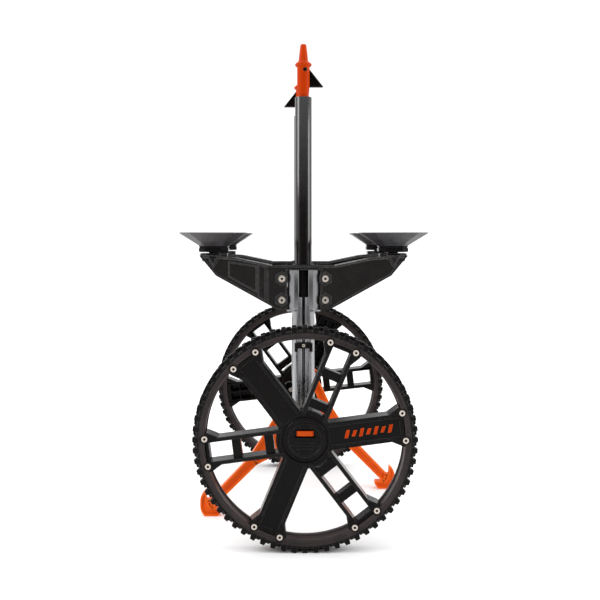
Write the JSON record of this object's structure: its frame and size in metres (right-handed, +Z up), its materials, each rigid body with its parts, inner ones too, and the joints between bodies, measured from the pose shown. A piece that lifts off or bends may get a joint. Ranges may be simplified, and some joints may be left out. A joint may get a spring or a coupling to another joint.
{
  "type": "kayak scupper cart",
  "caption": "Kayak cart with large spoked wheels, telescoping uprights with barbed scupper posts, rubber hull pads and folding kickstand legs.",
  "frame": {"origin": "centre of the ground footprint, on the ground", "axes": "+X along the travel direction, +Y along the axles, +Z up"},
  "size_m": [0.466, 0.6, 0.915],
  "materials": {
    "black_plastic": "satin black moulded plastic",
    "rim_plastic": "satin brown-black moulded plastic",
    "tyre_rubber": "matte black rubber",
    "pad_rubber": "matte dark grey rubber",
    "orange_plastic": "satin orange moulded plastic",
    "bare_aluminium": "brushed grey anodised aluminium",
    "dark_aluminium": "gloss black anodised aluminium",
    "steel": "stainless steel",
    "bush_plastic": "natural acetal"
  },
  "bodies": {
    "frame_right": {"axle_right": "steel", "axle_carrier_right": "black_plastic", "column_right": "bare_aluminium", "column_stop_right": "black_plastic", "kickstand_pin_right": "steel", "crossbar_outer": "bare_aluminium", "crossbar_collar": "black_plastic"},
    "wheel_right": {"tyre_right": "tyre_rubber", "wheel_rim_right": "rim_plastic", "wheel_spokes_right": "black_plastic", "hub_bush_right": "bush_plastic", "hub_cap_right": "black_plastic"},
    "button_right": {"release_button_right": "orange_plastic"},
    "support_right": {"support_sleeve_right": "bare_aluminium", "bracket_outer_right": "black_plastic", "bracket_inner_right": "black_plastic", "post_bush_right": "black_plastic", "clamp_bolt_1_right": "steel", "clamp_bolt_2_right": "steel", "clamp_bolt_3_right": "steel", "clamp_bolt_4_right": "steel"},
    "upright_right": {"post_right": "dark_aluminium", "post_cap_right": "orange_plastic", "fin_pin_right": "steel"},
    "fin_right": {"latch_fin_right": "black_plastic"},
    "leg_right": {"kickstand_leg_right": "orange_plastic"},
    "front_pad_right": {"pad_front_right": "pad_rubber", "pad_base_front_right": "black_plastic"},
    "rear_pad_right": {"pad_rear_right": "pad_rubber", "pad_base_rear_right": "black_plastic"},
    "frame_left": {"axle_left": "steel", "axle_carrier_left": "black_plastic", "column_left": "bare_aluminium", "column_stop_left": "black_plastic", "kickstand_pin_left": "steel", "crossbar_inner": "bare_aluminium"},
    "wheel_left": {"tyre_left": "tyre_rubber", "wheel_rim_left": "rim_plastic", "wheel_spokes_left": "black_plastic", "hub_bush_left": "bush_plastic", "hub_cap_left": "black_plastic"},
    "button_left": {"release_button_left": "orange_plastic"},
    "support_left": {"support_sleeve_left": "bare_aluminium", "bracket_outer_left": "black_plastic", "bracket_inner_left": "black_plastic", "post_bush_left": "black_plastic", "clamp_bolt_1_left": "steel", "clamp_bolt_2_left": "steel", "clamp_bolt_3_left": "steel", "clamp_bolt_4_left": "steel"},
    "upright_left": {"post_left": "dark_aluminium", "post_cap_left": "orange_plastic", "fin_pin_left": "steel"},
    "fin_left": {"latch_fin_left": "black_plastic"},
    "leg_left": {"kickstand_leg_left": "orange_plastic"},
    "front_pad_left": {"pad_front_left": "pad_rubber", "pad_base_front_left": "black_plastic"},
    "rear_pad_left": {"pad_rear_left": "pad_rubber", "pad_base_rear_left": "black_plastic"}
  },
  "joints": [
    {"name": "track_width", "type": "slide", "parent": "frame_right", "child": "frame_left", "axis": [0, 1, 0], "range_m": [-0.03, 0.05]},
    {"name": "wheel_spin_right", "type": "hinge", "parent": "frame_right", "child": "wheel_right", "pos_m": [0, -0.278, 0.195], "axis": [0, 1, 0], "continuous": true},
    {"name": "release_button_press_right", "type": "slide", "parent": "wheel_right", "child": "button_right", "axis": [0, 1, 0], "range_m": [0, 0.0025], "stiffness_N_per_m": 800, "springref_m": -0.0005},
    {"name": "support_height_right", "type": "slide", "parent": "frame_right", "child": "support_right", "axis": [0, 0, 1], "range_m": [-0.05, 0.012]},
    {"name": "post_height_right", "type": "slide", "parent": "frame_right", "child": "upright_right", "axis": [0, 0, 1], "range_m": [-0.09, 0.06]},
    {"name": "fin_fold_right", "type": "hinge", "parent": "upright_right", "child": "fin_right", "pos_m": [0.003, -0.128, 0.865], "axis": [0, 1, 0], "range_deg": [0, 30], "stiffness_Nm_per_rad": 0.05, "springref_deg": -11.46},
    {"name": "leg_fold_right", "type": "hinge", "parent": "frame_right", "child": "leg_right", "pos_m": [-0.024, -0.092, 0.248], "axis": [0, 1, 0], "range_deg": [0, 100]},
    {"name": "front_pad_tilt_right", "type": "hinge", "parent": "support_right", "child": "front_pad_right", "pos_m": [0.171, -0.128, 0.515], "axis": [0, 1, 0], "range_deg": [-4, 4]},
    {"name": "rear_pad_tilt_right", "type": "hinge", "parent": "support_right", "child": "rear_pad_right", "pos_m": [-0.171, -0.128, 0.515], "axis": [0, 1, 0], "range_deg": [-4, 4]},
    {"name": "wheel_spin_left", "type": "hinge", "parent": "frame_left", "child": "wheel_left", "pos_m": [0, 0.278, 0.195], "axis": [0, 1, 0], "continuous": true},
    {"name": "release_button_press_left", "type": "slide", "parent": "wheel_left", "child": "button_left", "axis": [0, -1, 0], "range_m": [0, 0.0025], "stiffness_N_per_m": 800, "springref_m": -0.0005},
    {"name": "support_height_left", "type": "slide", "parent": "frame_left", "child": "support_left", "axis": [0, 0, 1], "range_m": [-0.05, 0.012]},
    {"name": "post_height_left", "type": "slide", "parent": "frame_left", "child": "upright_left", "axis": [0, 0, 1], "range_m": [-0.09, 0.06]},
    {"name": "fin_fold_left", "type": "hinge", "parent": "upright_left", "child": "fin_left", "pos_m": [-0.003, 0.128, 0.865], "axis": [0, -1, 0], "range_deg": [0, 30], "stiffness_Nm_per_rad": 0.05, "springref_deg": -11.46},
    {"name": "leg_fold_left", "type": "hinge", "parent": "frame_left", "child": "leg_left", "pos_m": [0.024, 0.092, 0.248], "axis": [0, -1, 0], "range_deg": [0, 100]},
    {"name": "front_pad_tilt_left", "type": "hinge", "parent": "support_left", "child": "front_pad_left", "pos_m": [0.171, 0.128, 0.515], "axis": [0, 1, 0], "range_deg": [-4, 4]},
    {"name": "rear_pad_tilt_left", "type": "hinge", "parent": "support_left", "child": "rear_pad_left", "pos_m": [-0.171, 0.128, 0.515], "axis": [0, 1, 0], "range_deg": [-4, 4]}
  ]
}
